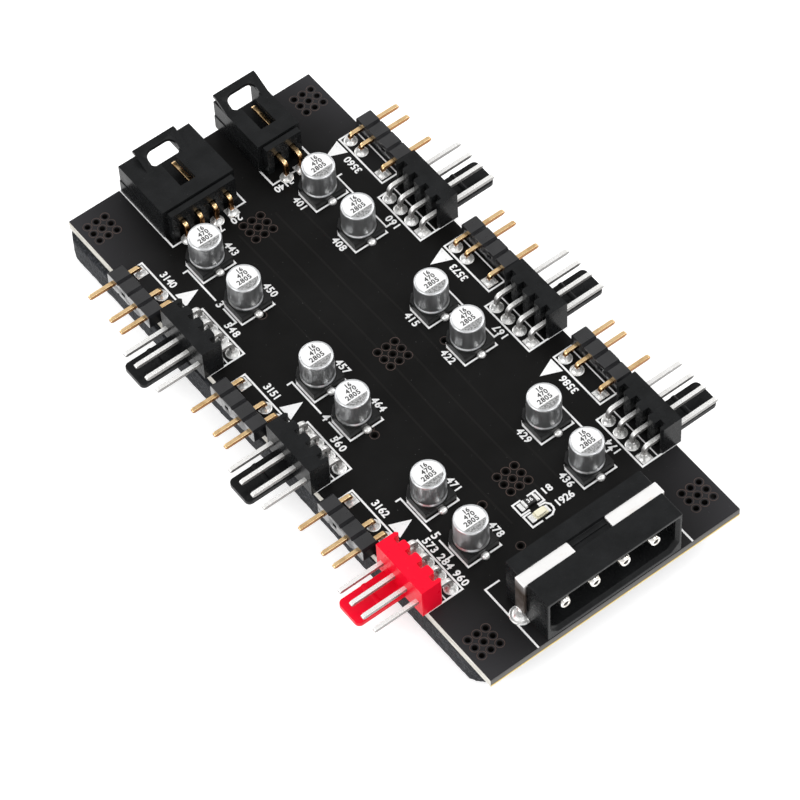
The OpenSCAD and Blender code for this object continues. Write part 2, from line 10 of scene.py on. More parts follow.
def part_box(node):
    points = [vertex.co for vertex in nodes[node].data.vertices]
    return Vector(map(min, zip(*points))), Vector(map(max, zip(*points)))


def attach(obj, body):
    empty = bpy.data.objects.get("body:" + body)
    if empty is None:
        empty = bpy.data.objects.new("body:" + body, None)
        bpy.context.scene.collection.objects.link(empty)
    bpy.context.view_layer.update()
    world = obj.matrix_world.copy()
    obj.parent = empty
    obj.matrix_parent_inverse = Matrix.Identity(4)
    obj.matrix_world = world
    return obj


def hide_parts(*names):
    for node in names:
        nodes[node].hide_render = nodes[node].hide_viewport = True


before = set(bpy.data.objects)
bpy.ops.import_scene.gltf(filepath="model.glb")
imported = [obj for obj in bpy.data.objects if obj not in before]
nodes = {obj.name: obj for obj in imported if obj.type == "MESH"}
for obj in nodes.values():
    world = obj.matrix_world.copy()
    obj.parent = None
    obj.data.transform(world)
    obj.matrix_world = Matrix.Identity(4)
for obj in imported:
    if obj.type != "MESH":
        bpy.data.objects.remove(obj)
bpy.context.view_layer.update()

# Measures are in millimetres, and MM turns them into Blender's metres
MM = 0.001
PAD_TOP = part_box("foam_pad")[1].z / MM
BOARD_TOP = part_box("circuit_board")[1].z / MM
HALF_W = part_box("circuit_board")[1].x / MM
HALF_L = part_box("circuit_board")[1].y / MM
STRAP_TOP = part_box("power_brackets")[1].z / MM
PRINT_Z = BOARD_TOP + 0.012
PITCH = 2.54
POWER_PITCH = 5.08
# the rear pair of headers on each side, and the step to the next pair
STRIP_Y = 30.75
FAN_Y = 19.0
GROUP_PITCH = 24.5
# the header legs, from the board's side edges, and the legs of the input sockets
STRIP_LEG_IN = 2.68
FAN_LEG_IN = 4.65
INPUT_LEG_Y = HALF_L - 13.2


# Nodes of the materials

def new_material(name, values):
    """A material, its tree and its shader, with some of the shader's inputs set."""
    mat = bpy.data.materials.new(name)
    mat.use_nodes = True
    bsdf = mat.node_tree.nodes["Principled BSDF"]
    for key, value in values.items():
        bsdf.inputs[key].default_value = value
    return mat, mat.node_tree, bsdf


def node(tree, kind, **values):
    n = tree.nodes.new(kind)
    for key, value in values.items():
        n.inputs[key].default_value = value
    return n


def feed(tree, source, socket):
    """Sets a socket to a plain value, or links it to another node's output."""
    if isinstance(source, (int, float, tuple)):
        socket.default_value = source
    else:
        tree.links.new(source, socket)


def object_coords(tree, scale=(1, 1, 1)):
    coords = tree.nodes.new("ShaderNodeTexCoord")
    mapping = node(tree, "ShaderNodeMapping", Scale=scale)
    tree.links.new(coords.outputs["Object"], mapping.inputs["Vector"])
    return mapping.outputs["Vector"]


def axes(tree, source):
    """The X, Y and Z parts of a vector."""
    split = tree.nodes.new("ShaderNodeSeparateXYZ")
    tree.links.new(source, split.inputs["Vector"])
    return split.outputs


def facing(tree):
    """The parts of the surface's direction."""
    return axes(tree, tree.nodes.new("ShaderNodeNewGeometry").outputs["Normal"])


def place_mm(tree):
    """The parts of the surface's place, in millimetres."""
    return axes(tree, object_coords(tree, (1000, 1000, 1000)))


def noise(tree, scale, detail, rough=0.5, stretch=(1, 1, 1)):
    n = node(tree, "ShaderNodeTexNoise", Scale=scale, Detail=detail, Roughness=rough)
    tree.links.new(object_coords(tree, stretch), n.inputs["Vector"])
    return n.outputs["Fac"]


def grey(v, warm=0.0):
    return (v * (1 + warm), v, v * (1 - warm), 1)


def ramp(tree, source, stops):
    """Turns a value into a colour by (position, colour) stops."""
    r = tree.nodes.new("ShaderNodeValToRGB")
    first, last = r.color_ramp.elements
    first.position, first.color = stops[0]
    last.position, last.color = stops[-1]
    for position, colour in stops[1:-1]:
        r.color_ramp.elements.new(position).color = colour
    tree.links.new(source, r.inputs["Fac"])
    return r.outputs["Color"]


def spread(tree, source, low, high, start=0.0, stop=1.0):
    """Maps the range from start to stop onto the range from low to high."""
    m = tree.nodes.new("ShaderNodeMapRange")
    for key, value in (("From Min", start), ("From Max", stop), ("To Min", low), ("To Max", high)):
        m.inputs[key].default_value = value
    tree.links.new(source, m.inputs["Value"])
    return m.outputs["Result"]


def bump(tree, bsdf, source, distance, strength=1.0):
    """Adds a relief on top of those that the shader already has."""
    b = node(tree, "ShaderNodeBump", Distance=distance, Strength=strength)
    tree.links.new(source, b.inputs["Height"])
    old = bsdf.inputs["Normal"].links
    if old:
        tree.links.new(old[0].from_socket, b.inputs["Normal"])
    tree.links.new(b.outputs["Normal"], bsdf.inputs["Normal"])


def mix(tree, factor, a, b):
    """Colour a where the factor is 0, colour b where it is 1."""
    m = tree.nodes.new("ShaderNodeMix")
    m.data_type = "RGBA"
    for index, source in ((0, factor), (6, a), (7, b)):
        feed(tree, source, m.inputs[index])
    return m.outputs[2]


def maths(tree, operation, a, b=0.0):
    m = tree.nodes.new("ShaderNodeMath")
    m.operation = operation
    feed(tree, a, m.inputs[0])
    feed(tree, b, m.inputs[1])
    return m.outputs[0]


def times(tree, a, b):
    return maths(tree, "MULTIPLY", a, b)


def plus(tree, a, b):
    return maths(tree, "ADD", a, b)


def beyond(tree, source, limit):
    """1 where the source is further from zero than the limit, 0 elsewhere."""
    return maths(tree, "GREATER_THAN", maths(tree, "ABSOLUTE", source), limit)


def within(tree, source, limit):
    """1 where the source is nearer to zero than the limit, 0 elsewhere."""
    return maths(tree, "LESS_THAN", maths(tree, "ABSOLUTE", source), limit)


def dusty(tree, colour, scale, threshold, share, tone):
    """Strews fine specks over a colour."""
    specks = maths(tree, "GREATER_THAN", noise(tree, scale, 2, 0.4), threshold)
    return mix(tree, times(tree, specks, share), colour, tone)


# Materials

def moulded(name, colour, rough, lift=1.6, ior=1.5, spec=0.5):
    """Moulded nylon: a faint orange-peel surface, cloudy tone and uneven gloss, with fine dust."""
    mat, tree, bsdf = new_material(name, {"IOR": ior, "Specular IOR Level": spec})
    lighter = tuple(min(1, c * lift + 0.001) for c in colour[:3]) + (1,)
    tone = ramp(tree, noise(tree, 320, 5, 0.6), [(0.35, colour), (0.72, lighter)])
    tree.links.new(dusty(tree, tone, 4200, 0.77, 0.25, grey(0.16)), bsdf.inputs["Base Color"])
    tree.links.new(spread(tree, noise(tree, 800, 5), rough - 0.1, rough + 0.12), bsdf.inputs["Roughness"])
    bump(tree, bsdf, noise(tree, 2600, 4, 0.6), 0.003 * MM)
    return mat


def gloss_walls(mat):
    """Adds a wavy gloss to the walls that look left and right, and takes the shine from the creases."""
    tree = mat.node_tree
    bsdf = tree.nodes["Principled BSDF"]
    look = facing(tree)
    waves = ramp(tree, noise(tree, 620, 2, 0.4, (0.2, 0.6, 1.0)), [(0.42, grey(0.15)), (0.5, grey(1.0))])
    tree.links.new(times(tree, beyond(tree, look["X"], 0.8), waves), bsdf.inputs["Coat Weight"])
    crease = beyond(tree, look["Y"], 0.25)
    tree.links.new(spread(tree, crease, 0.5, 0.06), bsdf.inputs["Specular IOR Level"])
    bsdf.inputs["Coat IOR"].default_value = 2.1
    bsdf.inputs["Coat Roughness"].default_value = 0.06


def metal(name, colour, tint, rough, metallic, dents, scale=700, wire=(1, 1, 1), side_shade=None):
    """Plated metal with a milky skin: uneven tone, drawn streaks and small dents, and painted shade that darkens the
    sides which don't face up.
    """
    mat, tree, bsdf = new_material(name, {"Metallic": metallic})
    skin = ramp(tree, noise(tree, scale, 5, 0.6, wire), [(0.3, tint), (0.55, colour)])
    if side_shade:
        # painted shade: the sides which don't face up take the darker side colour
        lit_top_share = ramp(tree, facing(tree)["Z"], [(0.35, grey(0.0)), (0.8, grey(1.0))])
        skin = mix(tree, lit_top_share, side_shade, skin)
    tree.links.new(skin, bsdf.inputs["Base Color"])
    tree.links.new(spread(tree, noise(tree, scale * 2.2, 4, 0.6, wire), rough - 0.07, rough + 0.13),
                   bsdf.inputs["Roughness"])
    bump(tree, bsdf, noise(tree, scale * 1.3, 4, 0.55, wire), dents * MM)
    return mat


def strap_material():
    """Tinned steel strip: nearly white on the flat top, with painted shade that makes the bent legs grey and warm."""
    drawn = (0.35, 1, 1)
    mat, tree, bsdf = new_material("bracket_tin", {"Metallic": 0.55})
    # painted shade: the bent legs get a dark warm grey, blended in by height below the top
    legs = ramp(tree, noise(tree, 520, 5, 0.6, drawn),
                [(0.32, (0.07, 0.045, 0.03, 1)), (0.6, (0.17, 0.145, 0.13, 1))])
    top = ramp(tree, noise(tree, 700, 5, 0.6, drawn),
               [(0.28, (0.86, 0.8, 0.72, 1)), (0.42, (0.98, 0.97, 0.96, 1))])
    height = spread(tree, place_mm(tree)["Z"], 0.0, 1.0, STRAP_TOP - 2.2, STRAP_TOP - 0.12)
    share = ramp(tree, height, [(0.0, grey(0.0)), (0.86, grey(0.35)), (1.0, grey(1.0))])
    tree.links.new(mix(tree, share, legs, top), bsdf.inputs["Base Color"])
    tree.links.new(spread(tree, noise(tree, 1100, 4, 0.6, drawn), 0.26, 0.46), bsdf.inputs["Roughness"])
    bump(tree, bsdf, noise(tree, 640, 4, 0.55, drawn), 0.01 * MM)
    return mat


def board_material():
    """Black solder mask over copper runs on the faces, bare glass fibre at the edges."""
    mat, tree, bsdf = new_material("solder_mask", {"Specular IOR Level": 0.11})
    look = facing(tree)
    face = beyond(tree, look["Z"], 0.5)
    x, y, z = place_mm(tree)

    # the copper runs lie along the middle and show as faint raised bands
    wobble = times(tree, noise(tree, 24, 2), 1.6)
    run = maths(tree, "FRACT", times(tree, plus(tree, x, wobble), 0.31))
    trace = maths(tree, "LESS_THAN", run, 0.1)
    traces = times(tree, times(tree, trace, within(tree, x, 7.0)), within(tree, y, 31.0))
    mask = ramp(tree, noise(tree, 110, 5, 0.62), [(0.3, grey(0.0032, 0.05)), (0.7, grey(0.0065, 0.02))])
    mask = mix(tree, times(tree, traces, 0.5), mask, grey(0.012, 0.06))

    # painted sheen: the mask is made paler towards the corners
    def squared_share(place, half):
        return maths(tree, "POWER", maths(tree, "DIVIDE", maths(tree, "ABSOLUTE", place), half), 2.0)

    reach = times(tree, plus(tree, squared_share(x, HALF_W), squared_share(y, HALF_L)), 0.5)
    corner_sheen = ramp(tree, reach, [(0.45, grey(0.0)), (0.95, grey(0.7))])
    mask = mix(tree, corner_sheen, mask, (0.044, 0.043, 0.047, 1))
    mask = dusty(tree, mask, 3400, 0.775, 0.45, grey(0.14))

    # bare fibre shows only round the outline, and the walls of the holes carry painted shade, near black
    outline = maths(tree, "MAXIMUM", beyond(tree, x, HALF_W - 1.0), beyond(tree, y, HALF_L - 1.0))
    layers = noise(tree, 900, 4, 0.6, (0.4, 0.4, 3.0))
    fibre = ramp(tree, layers, [(0.3, (0.55, 0.52, 0.46, 1)), (0.6, (0.86, 0.84, 0.78, 1))])

    # painted shade: the end walls are grey in place of the fibre's cream, darker towards the top, above a dark line
    # and a yellow line along their foot
    uneven_z = plus(tree, z, times(tree, noise(tree, 500, 3), 0.12))
    rise = spread(tree, uneven_z, 0.0, 1.0, PAD_TOP, BOARD_TOP)
    end_wall_shade = ramp(tree, rise, [
        (0.0, (1.0, 0.9, 0.6, 1)), (0.2, (0.9, 0.7, 0.3, 1)), (0.3, (0.34, 0.24, 0.1, 1)),
        (0.38, (0.12, 0.1, 0.08, 1)), (0.45, grey(0.19, 0.03)), (0.8, grey(0.16, 0.03)), (1.0, grey(0.13, 0.03))])
    fibre = mix(tree, beyond(tree, look["Y"], 0.5), fibre, end_wall_shade)
    wall = mix(tree, outline, (0.012, 0.01, 0.009, 1), fibre)
    tree.links.new(mix(tree, face, wall, mask), bsdf.inputs["Base Color"])

    gloss = spread(tree, noise(tree, 140, 4), 0.28, 0.4)
    dull_wall = times(tree, maths(tree, "SUBTRACT", 1.0, face), 0.35)
    tree.links.new(plus(tree, gloss, dull_wall), bsdf.inputs["Roughness"])
    relief = plus(tree, times(tree, traces, 0.6), times(tree, noise(tree, 1500, 4, 0.6), 0.2))
    bump(tree, bsdf, relief, 0.03 * MM)
    return mat


def foam_material():
    """Closed-cell foam: charcoal, pitted, with pale cut cells."""
    mat, tree, bsdf = new_material("foam", {"Roughness": 0.9, "Specular IOR Level": 0.3, "Sheen Weight": 0.1})
    cells = node(tree, "ShaderNodeTexVoronoi", Scale=2900.0)
    tree.links.new(object_coords(tree), cells.inputs["Vector"])
    speck = noise(tree, 2300, 5, 0.7)
    tone = ramp(tree, speck, [(0.34, (0.004, 0.005, 0.007, 1)), (0.52, (0.015, 0.017, 0.021, 1)),
                              (0.74, (0.09, 0.094, 0.108, 1))])
    tree.links.new(tone, bsdf.inputs["Base Color"])
    bump(tree, bsdf, cells.outputs["Distance"], 0.1 * MM, 0.8)
    bump(tree, bsdf, speck, 0.08 * MM, 0.7)
    return mat


def inked(name, worn, full, rough=0.55, scale=2400, gap=0.28):
    """Screen-printed ink with slightly open, worn patches."""
    mat, tree, bsdf = new_material(name, {"Roughness": rough})
    tone = ramp(tree, noise(tree, scale, 5, 0.7), [(gap, worn), (gap + 0.16, full)])
    tree.links.new(tone, bsdf.inputs["Base Color"])
    bump(tree, bsdf, noise(tree, 5000, 3), 0.006 * MM)
    return mat


black_nylon = moulded("black_nylon", grey(0.0088, -0.05), 0.26, spec=0.13)
strip_nylon = moulded("strip_nylon", (0.009, 0.009, 0.01, 1), 0.3, 1.8, ior=1.58)
gloss_walls(strip_nylon)
red_nylon = moulded("red_nylon", (0.9, 0.004, 0.027, 1), 0.3, 1.0, spec=0.12)
base_nylon = moulded("capacitor_base_plastic", grey(0.006), 0.3, spec=0.3)
chip_coat = moulded("chip_coat", grey(0.012), 0.35)
lens_resin = moulded("lens_resin", (0.9, 0.86, 0.66, 1), 0.3, 1.05)
pit_shade = moulded("seam_shadow", (0.012, 0.008, 0.006, 1), 0.5, spec=0.1)
# painted shade: the gold and tin pins get darker sides
gold = metal("gold_plate", (0.98, 0.7, 0.38, 1), (0.7, 0.44, 0.2, 1), 0.2, 1.0, 0.004,
             side_shade=(0.36, 0.165, 0.055, 1))
tin = metal("tin_plate", (0.96, 0.955, 0.94, 1), (0.9, 0.89, 0.86, 1), 0.24, 0.55, 0.003, side_shade=grey(0.36, 0.03))
end_tin = metal("wetted_tin", (0.98, 0.98, 0.97, 1), (0.9, 0.9, 0.88, 1), 0.26, 0.4, 0.008, 900)
pin_tin = metal("round_pin_plate", (0.97, 0.96, 0.93, 1), (0.75, 0.7, 0.62, 1), 0.16, 1.0, 0.004)
strap_metal = strap_material()
solder_metal = metal("solder", (0.98, 0.98, 0.97, 1), (0.86, 0.85, 0.82, 1), 0.24, 0.62, 0.003, 420)
can_side = metal("can_aluminium", (0.74, 0.75, 0.76, 1), (0.54, 0.55, 0.56, 1), 0.3, 0.92, 0.002, 900, (1, 1, 0.04))
can_face = inked("can_top_lacquer", grey(0.72), grey(0.86), 0.42, 1500)
segment_ink = inked("segment_ink", grey(0.42), grey(0.13), 0.4, 3600, 0.42)
ring_copper = metal("masked_copper", (0.07, 0.042, 0.034, 1), (0.03, 0.02, 0.018, 1), 0.4, 0.2, 0.004)
solder_mask = board_material()
foam_mat = foam_material()
white_print = inked("white_print", grey(0.62), grey(0.9))
dark_ink = inked("dark_ink", grey(0.12), grey(0.035))


# Modelling helpers

def paint(obj, mat):
    obj.data.materials.clear()
    obj.data.materials.append(mat)


def only(obj):
    """Leaves this object alone selected and active."""
    if bpy.context.object and bpy.context.object.mode != "OBJECT":
        bpy.ops.object.mode_set(mode="OBJECT")
    bpy.ops.object.select_all(action="DESELECT")
    if obj:
        obj.select_set(True)
        bpy.context.view_layer.objects.active = obj


@contextlib.contextmanager
def editing(obj):
    """Opens the object's mesh with all of it selected, and closes it again."""
    only(obj)
    bpy.ops.object.mode_set(mode="EDIT")
    bpy.ops.mesh.select_all(action="SELECT")
    yield
    bpy.ops.object.mode_set(mode="OBJECT")


def settle(obj):
    """Puts the object's place into its mesh."""
    only(obj)
    bpy.ops.object.transform_apply(location=True, rotation=True, scale=True)
    return obj


def outward(obj):
    """Welds points that meet and turns all faces outwards."""
    with editing(obj):
        bpy.ops.mesh.remove_doubles(threshold=0.0005 * MM)
        bpy.ops.mesh.normals_make_consistent(inside=False)
    return obj


def smooth(obj, angle):
    only(obj)
    bpy.ops.object.shade_smooth_by_angle(angle=math.radians(angle))
    return obj


def modify(obj, kind, **settings):
    """Adds a modifier and applies it."""
    m = obj.modifiers.new(kind, kind)
    for key, value in settings.items():
        setattr(m, key, value)
    only(obj)
    bpy.ops.object.modifier_apply(modifier=m.name)
    return obj


def cut(obj, point, normal, **cleared):
    """Cuts the object along a plane through a point, clears one side and closes the cut."""
    with editing(obj):
        bpy.ops.mesh.bisect(plane_co=[c * MM for c in point], plane_no=normal, use_fill=True, **cleared)
    return obj


def rounded(obj, width):
    """Rounds the edges by a narrow bevel and keeps the broad faces flat in the shading."""
    modify(obj, "BEVEL", width=width * MM, segments=2, limit_method="ANGLE", angle_limit=math.radians(30),
           miter_outer="MITER_ARC")
    smooth(obj, 40)
    return modify(obj, "WEIGHTED_NORMAL", keep_sharp=True)


def clouds(name, size, depth=2):
    """A cloudy pattern, by which surfaces are made uneven."""
    pattern = bpy.data.textures.new(name, "CLOUDS")
    pattern.noise_scale = size * MM
    pattern.noise_depth = depth
    return pattern


def displaced(obj, pattern, strength, level):
    """Moves the surface in and out by a pattern, whose tone at this level stays in place."""
    return modify(obj, "DISPLACE", texture=pattern, texture_coords="LOCAL", strength=strength * MM, mid_level=level)


def join(parts, name):
    only(None)
    for p in parts:
        p.select_set(True)
    bpy.context.view_layer.objects.active = parts[0]
    if len(parts) > 1:
        bpy.ops.object.join()
    obj = bpy.context.object
    obj.name = name
    obj.data.name = name
    return obj


def whole_faces(obj, weld, split=True):
    """Merges loose triangles into whole faces, which are split again where they may hold openings."""
    with editing(obj):
        bpy.ops.mesh.remove_doubles(threshold=weld * MM)
        bpy.ops.mesh.dissolve_limited(angle_limit=math.radians(2), use_dissolve_boundaries=False)
        if split:
            bpy.ops.mesh.quads_convert_to_tris(quad_method="BEAUTY", ngon_method="BEAUTY")
        bpy.ops.mesh.normals_make_consistent(inside=False)
    return obj


def merged(name, weld=0.01, split=True):
    """A copy of a CAD piece with its loose triangles merged into whole faces."""
    c = nodes[name].copy()
    c.data = nodes[name].data.copy()
    c.parent = None
    for key in list(c.keys()):
        del c[key]
    bpy.context.scene.collection.objects.link(c)
    return whole_faces(c, weld, split)


def edged(names, title, width, weld=0.01, split=True):
    """One piece made of merged copies of CAD pieces, each with rounded edges."""
    return join([rounded(merged(n, weld, split), width) for n in names], title)


def middle(name):
    """The middle of a CAD piece in x and y."""
    low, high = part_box(name)
    return (low.x + high.x) / 2 / MM, (low.y + high.y) / 2 / MM


def turned(name, rings, segments):
    """A closed turned shape about +Z: rings are (radius, height) from one end to the other."""
    only(None)
    r, z = rings[0]
    bpy.ops.mesh.primitive_circle_add(vertices=segments, radius=r * MM, fill_type="NGON", location=(0, 0, z * MM))
    obj = bpy.context.object
    obj.name = name
    with editing(obj):
        for r2, z2 in rings[1:]:
            bpy.ops.mesh.extrude_region_move(TRANSFORM_OT_translate={"value": (0, 0, (z2 - z) * MM)})
            k = r2 / r
            bpy.ops.transform.resize(value=(k, k, 1), center_override=(0, 0, z2 * MM))
            r, z = r2, z2
    settle(obj)
    return outward(obj)


def block(name, low, high):
    """A box between two corners."""
    only(None)
    bpy.ops.mesh.primitive_cube_add(size=1, location=[(h + l) / 2 * MM for l, h in zip(low, high)])
    obj = bpy.context.object
    obj.name = name
    obj.scale = [(h - l) * MM for l, h in zip(low, high)]
    return settle(obj)


def copies(obj, places, name, tilt=None):
    """One piece made of copies of obj, each with its own mesh, at (x, y, z, turn in degrees)."""
    made = []
    for x, y, z, turn in places:
        c = obj.copy()
        c.data = obj.data.copy()
        place = Matrix.Translation(Vector((x, y, z)) * MM) @ Matrix.Rotation(math.radians(turn), 4, "Z")
        c.data.transform(place @ tilt if tilt else place)
        bpy.context.scene.collection.objects.link(c)
        made.append(c)
    bpy.data.objects.remove(obj)
    return join(made, name)


def dress(obj, mat, replaced=()):
    """Gives a finished piece its material, hangs it from the root and hides the CAD pieces that it stands for."""
    paint(obj, mat)
    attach(obj, "root")
    if replaced:
        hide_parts(*replaced)


# Pieces that keep their CAD shape, with merged faces and rounded edges

SHELL_WELD = 0.004
# the notch under a latch loop: half its width, its reach behind the mouth, the roof's depth and its own
NOTCH_HALF, NOTCH_BACK, NOTCH_FRONT = 2.45, 2.37, 1.1
ROOF_DROP, NOTCH_DEPTH, NOTCH_RISE = 1.45, 0.83, 0.03


def latched_shell(name):
    """An input socket with its roof cut square under the rounded window of the latch loop."""
    shell = merged(name, SHELL_WELD)
    mid = middle(name)[0]
    mouth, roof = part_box(name)[1].y / MM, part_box(name)[1].z / MM - ROOF_DROP
    notch = block("notch", (mid - NOTCH_HALF, mouth - NOTCH_BACK, roof - NOTCH_DEPTH),
                  (mid + NOTCH_HALF, mouth - NOTCH_FRONT, roof + NOTCH_RISE))
    modify(shell, "BOOLEAN", operation="DIFFERENCE", solver="EXACT", object=notch)
    bpy.data.objects.remove(notch)
    return whole_faces(shell, SHELL_WELD)


only(None)
paint(nodes["circuit_board"], solder_mask)

black_fans = [f"fan_header_{i}" for i in (1, 2, 4, 5, 6)]
dress(edged(black_fans, "fan_headers_black", 0.13, 0.05), black_nylon, black_fans)
dress(edged(["fan_header_3"], "fan_header_red", 0.13, 0.05), red_nylon, ["fan_header_3"])
strips = [f"light_header_{i}" for i in range(1, 7)]
dress(edged(strips, "light_header_strips", 0.09), strip_nylon, strips)
dress(edged(["power_socket_housing"], "power_socket_shell", 0.14), black_nylon,
      ["power_socket_housing"])
sockets = ["input_socket_4_pin", "input_socket_2_pin"]
dress(join([rounded(latched_shell(n), 0.07) for n in sockets], "input_socket_shells"), black_nylon,
      sockets)
bases = [f"capacitor_base_{i}" for i in range(1, 13)]
dress(edged(bases, "capacitor_bases", 0.08), base_nylon, bases)
gold_sets = [f"light_pins_{i}" for i in range(1, 7)] + ["input_pins"]
dress(edged(gold_sets, "gold_header_pins", 0.08), gold, gold_sets)
tin_sets = [f"fan_pins_{i}" for i in range(1, 7)]
dress(edged(tin_sets, "tinned_header_pins", 0.06, 0.002, False), tin, tin_sets)
dress(edged(["power_brackets"], "power_straps", 0.13), strap_metal, ["power_brackets"])


# Foam pad: a slightly turned block with round corners and a torn surface

PAD_TURN, PAD_X, PAD_Y = 0.6, -0.9, 1.8
PAD_W, PAD_L, PAD_CORNER = 41.6, 95.0, 3.6
only(None)
bpy.ops.mesh.primitive_cube_add(size=1)
foam = bpy.context.object
foam.name = "foam_pad_cells"
foam.scale = (PAD_W * MM, PAD_L * MM, PAD_TOP * MM)
foam.location = (PAD_X * MM, PAD_Y * MM, PAD_TOP / 2 * MM)
foam.rotation_euler = (0, 0, math.radians(PAD_TURN))
settle(foam)
with editing(foam):
    bpy.ops.mesh.select_mode(type="EDGE")
    bpy.ops.mesh.select_all(action="DESELECT")
for e in foam.data.edges:
    a, b = (foam.data.vertices[i].co for i in e.vertices)
    e.select = abs(a.z - b.z) > MM
bpy.ops.object.mode_set(mode="EDIT")
bpy.ops.mesh.bevel(offset=PAD_CORNER * MM, segments=10, affect="EDGES")
bpy.ops.mesh.select_mode(type="VERT")
bpy.ops.object.mode_set(mode="OBJECT")
modify(foam, "REMESH", mode="VOXEL", voxel_size=0.42 * MM)
displaced(foam, clouds("torn_cells", 0.8, 3), 0.22, 0.8)
smooth(foam, 60)
dress(foam, foam_mat, ["foam_pad"])


# Copper rings round the plated holes: flat bands, raised along the middle

VIA_PITCH = 1.5
only(None)
bpy.ops.mesh.primitive_circle_add(vertices=24, radius=0.61 * MM, fill_type="NOTHING")
ring = bpy.context.object
with editing(ring):
    for k in (1.04, 1.08, 1.04):
        bpy.ops.mesh.extrude_region_move()
        bpy.ops.transform.resize(value=(k, k, 1), center_override=(0, 0, 0))
for v in ring.data.vertices:
    if 0.62 * MM < v.co.length < 0.7 * MM:
        v.co.z = 0.02 * MM
outward(ring)
corner_x = HALF_W - 3.0
clusters = [(-corner_x, HALF_L - 4), (corner_x, HALF_L - 4), (-corner_x, 5.25 - HALF_L),
            (corner_x, 5.25 - HALF_L), (-0.95, 30.45), (0.55, 1.15), (0.6, -25.35)]
singles = [(6.35, 29.6), (-9.6, 17.8), (-9.5, -6.7), (-9.6, -8), (7.5, -1.6), (7.45, -3.2),
           (9.6, -22), (-5.2, -26.1), (-5.2, -34.4)]
holes = [(x + i * VIA_PITCH, y + j * VIA_PITCH) for x, y in clusters for i in (-1, 0, 1) for j in (-1, 0, 1)]
rings = copies(ring, [(x, y, BOARD_TOP + 0.004, 0) for x, y in holes + singles], "via_rings")
smooth(rings, 30)
dress(rings, ring_copper)


# Solder of the headers and input sockets: the pad of a header's first pin is square

uneven = clouds("uneven_solder", 1.1)


def lumpy(obj, strength):
    """Makes reflowed solder uneven from joint to joint."""
    return smooth(displaced(obj, uneven, strength, 0.5), 70)


def fillet(name, foot, neck, height):
    """A concave cone of solder that climbs a leg."""
    lip, steps = 0.05, 8
    shape = [(foot, 0.0), (foot * 0.98, lip)]
    for i in range(1, steps):
        t = i / steps
        shape.append((neck + (foot - neck) * (1 - t) ** 2.0, lip + height * t))
    return turned(name, shape + [(neck, lip + height), (neck * 0.7, lip + height + 0.03)], 28)


def header_leg(side, from_edge, y):
    """A place by its distance inside the left (-1) or right (1) edge of the board."""
    return (side * (HALF_W - from_edge), y, BOARD_TOP, 0 if side < 0 else 180)


round_legs, square_legs = [], []
for side in (-1, 1):
    for k in range(3):
        for pin in range(4):
            dy = (1.5 - pin) * PITCH * -side
            legs = square_legs if pin == 0 else round_legs
            if pin != 1:
                legs.append(header_leg(side, STRIP_LEG_IN, STRIP_Y - k * GROUP_PITCH + dy))
            legs.append(header_leg(side, FAN_LEG_IN, FAN_Y - k * GROUP_PITCH + dy))
for name, count in (("input_socket_4_pin", 4), ("input_socket_2_pin", 2)):
    mid = middle(name)[0]
    for k in range(count):
        legs = square_legs if k == count - 1 else round_legs
        legs.append((mid + (k - (count - 1) / 2) * PITCH, INPUT_LEG_Y, BOARD_TOP, 0))

joints = copies(fillet("joint", 0.9, 0.4, 0.75), round_legs + square_legs, "solder_fillets")
dress(lumpy(joints, 0.16), solder_metal, ["solder_joints"])
round_pads = copies(turned("pad", [(1.02, 0.0), (1.02, 0.03), (0.97, 0.06), (0.8, 0.075)], 32), round_legs, "pads")
square_pad = rounded(block("square_pad", (-0.9, -0.9, 0.0), (0.9, 0.9, 0.07)), 0.05)
square_pads = copies(square_pad, square_legs, "pads_square")
pads = smooth(join([round_pads, square_pads], "solder_pads"), 40)
dress(pads, solder_metal)


# Power socket: the solder of its pins and of the straps behind it

power_mid, foot_y = middle("power_brackets")
power_front = -HALF_L + 0.05
power_xs = [power_mid + (k - 1.5) * POWER_PITCH for k in range(4)]
tails = [(x, power_front + 10.25, BOARD_TOP, 0) for x in power_xs]
tail_joints = copies(fillet("tail_joint", 1.4, 0.72, 0.8), tails, "power_pin_solder")
dress(lumpy(tail_joints, 0.12), solder_metal)

# the joint of each strap: a bright rim, a moat and a cone that climbs the leg, cut off by the housing
FOOT_RINGS = [(1.62, 0.0), (1.66, 0.12), (1.6, 0.26), (1.46, 0.3), (1.36, 0.2), (1.2, 0.18), (1.0, 0.3),
              (0.8, 0.6), (0.64, 1.0), (0.55, 1.5), (0.45, 1.75), (0.2, 1.8)]
shell_low, shell_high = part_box("power_socket_housing")
shell_half = (shell_high.x - shell_low.x) / 2 / MM
feet = []
for side in (-1, 1):
    foot = turned("foot", FOOT_RINGS, 40)
    foot.location = ((power_mid + side * (shell_half + 0.3)) * MM, foot_y * MM, BOARD_TOP * MM)
    settle(foot)
    feet.append(cut(foot, (power_mid + side * (shell_half + 0.03), 0, 0), (side, 0, 0), clear_inner=True))
feet = lumpy(outward(join(feet, "bracket_solder")), 0.12)
dress(feet, solder_metal)


# Round power pins: the CAD tails with new shafts that end in rolled noses

